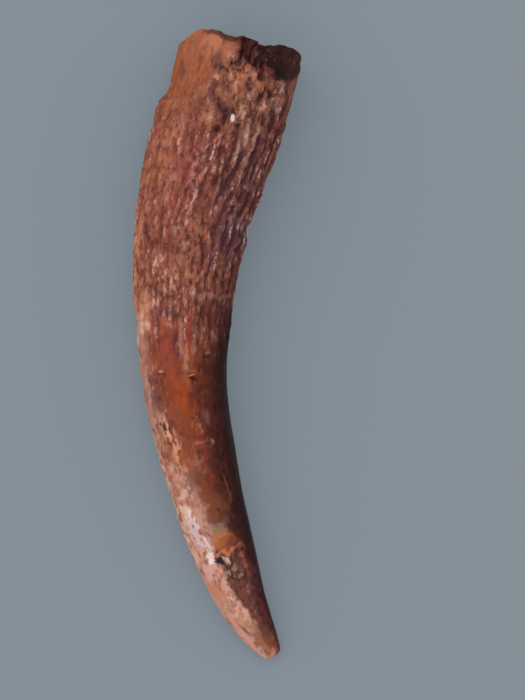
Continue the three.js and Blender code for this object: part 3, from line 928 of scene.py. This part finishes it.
# %% Marks of the tip
TIP_MARKS = {
    "dark line beside the face": ((44.8, 98, 1.6, 4.5, -5), paint(56, 30, 32), "torn", 0.5, 0.9),
    "brown nick": ((43.0, 153, 0.6, 9), paint(128, 70, 64), "torn", 0.7, 0.9),
    "lilac top": ((43.3, 132, 0.7, 16), paint(206, 156, 150), "torn", 0.5, 0.9),
    "orange tan": ((45.0, 144, 0.9, 14), paint(208, 132, 96), "wavy", 0.5, 0.8),
    "grey tan": ((48.0, 100, 0.7, 13), paint(182, 146, 120), "torn", 0.5, 0.9),
    "thin dark line": ((48.5, 124, 0.7, 5, -9), paint(104, 60, 52), "soft", 0.5, 0.7),
    "dark edge of the tip": ((47.2, 20, 4.6, 38), paint(48, 20, 24), "ragged", 0.4, 0.85),
    "red of the dark edge": ((47.6, 40, 3.4, 16), paint(104, 44, 38), "torn", 0.8, 0.6),
    "orange brown": ((50.0, 90, 1.7, 36), paint(128, 76, 52), "ragged", 0.6, 0.8),
    "tan mottle of the face": ((46.4, 116, 1.8, 16, -4), paint(154, 104, 84), "torn", 0.6, 0.8),
    "grey mottle of the face": ((47.0, 140, 2.4, 16), paint(170, 122, 104), "torn", 0.8, 0.7),
    "pink lower edge": ((48.6, 144, 1.8, 12), paint(222, 146, 130), "wavy", 0.4, 0.7),
    "pink point": ((51.45, 118, 0.28, 46), paint(206, 138, 122), "ragged", 0.5, 0.8),
}
print("marks of the tip:", len(TIP_MARKS))


# %% Lay the stains and marks on
def stained(board, where, colour, stains):
    """The colour with all the ovals of a list over it: stains, and a few of painted light and shade."""
    for oval, stain, edge, soft, thick in stains.values():
        colour = coat(board, where.patch(oval, edge, soft, thick), colour, stain)
    return colour


# the rough part of the root, then the stains
rough = where.patch((4.2, 76, 3.6, 42), "ragged", 0.3, 0.8)
lumpy_hue = (patchy * 0.3 + mottled * 0.4 + flecked * 0.3 - 0.5) * 2.8 + 0.5
colour = coat(board, rough, colour, ramp(board, lumpy_hue, ROUGH_PAINTS))
colour = stained(board, where, colour, STAINS_AND_PAINTED_LIGHT)
# the painted shade of the inner side has covered its wrinkles, so their painted valley shade and crest
# highlights are laid on again
inner = outer_side.rise(0.1, -0.5) * where.s.rise(23.0, 16.0)
colour = coat(board, valley_shade * inner * 0.5, colour, NEAR_BLACK)
colour = coat(board, pale * inner * 0.9, colour, paint(196, 156, 146))
colour = coat(board, mottled.rise(0.48, 0.36, 0.4), colour, MAROON)
colour = coat(board, streaky.rise(0.55, 0.68, 0.25) * on_root, colour, SALMON)
# the strip that is worn down, and the flaked side of the tip
worn = where.patch(WORN_STRIP, "ragged", 0.3, 0.8) + where.patch(LOWER_WORN_STRIP, "ragged", 0.25)
worn_hue = (mottled * 0.5 + flecked * 0.5 - 0.5) * 1.25 + 0.5
colour = coat(board, worn.rise(0, 1) * 0.9, colour, ramp(board, worn_hue, STRIP_PAINTS))
flaked = where.patch((46.6, 66, 4.4, 44, -4), "ragged", 0.15, 0.85)
colour = coat(board, flaked, colour, ramp(board, mottled * 0.5 + flecked * 0.5, CHIP_PAINTS))
colour = stained(board, where, colour, WORN_MARKS)
# the face that wear has ground on the tip
wear_face = where.patch((47.4, 165, 20, 72, -4), "wavy", 0.06) * where.s.rise(42.6, 43.1)
face_paints = ramp(board, (mottled * 0.5 + patchy * 0.2 + flecked * 0.3 - 0.5) * 1.9 + 0.52, STRIP_PAINTS)
colour = coat(board, wear_face, colour, coat(board, 0.3, face_paints, paint(194, 126, 106)))
colour = stained(board, where, colour, TIP_MARKS)
# painted shade along the shadowed edge of the rim, and the broken face
rim_shade = rim.rise(0.55, 0.25) * where.turn.cos().rise(0.1, -0.05) * where.turn.cos().rise(-0.75, -0.6)
colour = coat(board, rim_shade * 0.8, colour, MAROON)
colour = coat(board, end_face, colour, ramp(board, flecked, [(0.35, NEAR_BLACK), (0.65, paint(62, 25, 22))]))
print("with the stains:", len(fossil.node_tree.nodes), "nodes")

# %% [markdown]
# ## Gloss and grain
# The root is dull and the crown still has some of its polish, so the crown is less rough and wears a thin
# clear coat, though not on its dark inner side. Grain finer than the mesh comes from a Bump node, since it
# only has to catch the light.

# %% Gloss and grain
ROOT_ROUGHNESS = 0.6
CROWN_POLISH = 0.18  # how much less rough the crown is
CROWN_COAT = 0.07
GRAIN_DEPTH = 0.06  # mm
INNER_SIDE = (34, 0, 16, 70)
coated = crown * CROWN_COAT * where.patch(INNER_SIDE, "soft", 0.4).rise(1, 0)
roughness = ROOT_ROUGHNESS - crown * CROWN_POLISH + (grainy - 0.5) * 0.3
grain = board.noise(place, 0.15, 0.2, detail=4, roughness=0.65) * 0.5 + flecked
bump = board.node("ShaderNodeBump", {}, {"Strength": 0.6, "Distance": GRAIN_DEPTH * MM, "Height": grain})
sockets = {"Base Color": colour, "Roughness": roughness, "Specular IOR Level": 0.12, "Coat Weight": coated,
           "Coat Roughness": 0.35, "Normal": bump.outputs[0]}
surface = board.node("ShaderNodeBsdfPrincipled", {}, sockets)
board.node("ShaderNodeOutputMaterial", {}, {"Surface": surface.outputs[0]})
tooth.data.materials.clear()
tooth.data.materials.append(fossil)
print("material:", len(fossil.node_tree.nodes), "nodes")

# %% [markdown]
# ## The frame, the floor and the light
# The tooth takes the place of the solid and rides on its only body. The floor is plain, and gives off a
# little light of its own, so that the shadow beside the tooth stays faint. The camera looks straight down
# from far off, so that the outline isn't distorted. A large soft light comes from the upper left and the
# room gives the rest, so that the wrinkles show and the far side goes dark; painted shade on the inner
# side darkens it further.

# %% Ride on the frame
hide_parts("tooth")
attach(tooth, "root")
print("rides on the frame:", tooth.name)

# %% Floor
FLOOR_SIDE = 3  # m
FLOOR_GLOW = 1.0
bpy.ops.mesh.primitive_plane_add(size=FLOOR_SIDE, location=(0, 0, 0))
floor = bpy.context.object
floor.name = "floor"
floor_paint = bpy.data.materials.new("floor")
floor_paint.use_nodes = True
floor_surface = floor_paint.node_tree.nodes["Principled BSDF"]
floor_surface.inputs["Base Color"].default_value = paint(94, 103, 111)
floor_surface.inputs["Emission Color"].default_value = paint(89, 97, 103)
floor_surface.inputs["Emission Strength"].default_value = FLOOR_GLOW
floor_surface.inputs["Roughness"].default_value = 0.9
floor.data.materials.append(floor_paint)
print("floor, m:", FLOOR_SIDE)

# %% Camera
PICTURE_WIDTH, PICTURE_HEIGHT = 525, 700
MM_PER_PIXEL = 0.08
TOOTH_MIDDLE_X, TOOTH_MIDDLE_Y = 217, 347  # the pixel where the middle of the tooth's box is seen
LENS = 200
SENSOR = 36  # mm, spans the picture's long side
NEAREST, FARTHEST = 0.01, 20  # m, what the camera sees
aim_x = (PICTURE_WIDTH / 2 - TOOTH_MIDDLE_X) * MM_PER_PIXEL * MM
aim_y = (TOOTH_MIDDLE_Y - PICTURE_HEIGHT / 2) * MM_PER_PIXEL * MM
distance = PICTURE_HEIGHT * MM_PER_PIXEL * MM * LENS / SENSOR
camera_data = bpy.data.cameras.new("camera")
camera_data.lens = LENS
camera_data.sensor_width = SENSOR
camera_data.clip_start = NEAREST
camera_data.clip_end = FARTHEST
camera = bpy.data.objects.new("camera", camera_data)
camera.location = (aim_x, aim_y, distance + cad_high.z / 2)
bpy.context.scene.collection.objects.link(camera)
bpy.context.scene.camera = camera
print("camera above the floor, m:", round(camera.location.z, 3))

# %% Light
LAMP_DISTANCE = 0.5  # m
LAMP_SIDE = 0.9  # m
LAMP_POWER = 1.68  # W
LAMP_DIRECTION = (-0.38, 0.3, 1.0)  # from the tooth
LAMP_COLOUR = (1.0, 0.98, 0.95)
ROOM_LIGHT = 0.77


def soft_light(name, direction, size, power, colour):
    """A square light that points at the tooth from this direction."""
    data = bpy.data.lights.new(name, "AREA")
    data.size = size
    data.energy = power
    data.color = colour
    lamp = bpy.data.objects.new(name, data)
    direction = Vector(direction).normalized()
    lamp.location = direction * LAMP_DISTANCE
    lamp.rotation_euler = direction.to_track_quat("Z", "Y").to_euler()
    bpy.context.scene.collection.objects.link(lamp)
    return lamp


lamp = soft_light("key", LAMP_DIRECTION, LAMP_SIDE, LAMP_POWER, LAMP_COLOUR)
world = bpy.data.worlds.new("room")
world.use_nodes = True
world.node_tree.nodes["Background"].inputs["Color"].default_value = (1.0, 1.0, 1.0, 1)
world.node_tree.nodes["Background"].inputs["Strength"].default_value = ROOM_LIGHT
bpy.context.scene.world = world
bpy.context.scene.view_settings.view_transform = "Standard"
print("lamp, m:", [round(side, 2) for side in lamp.location])
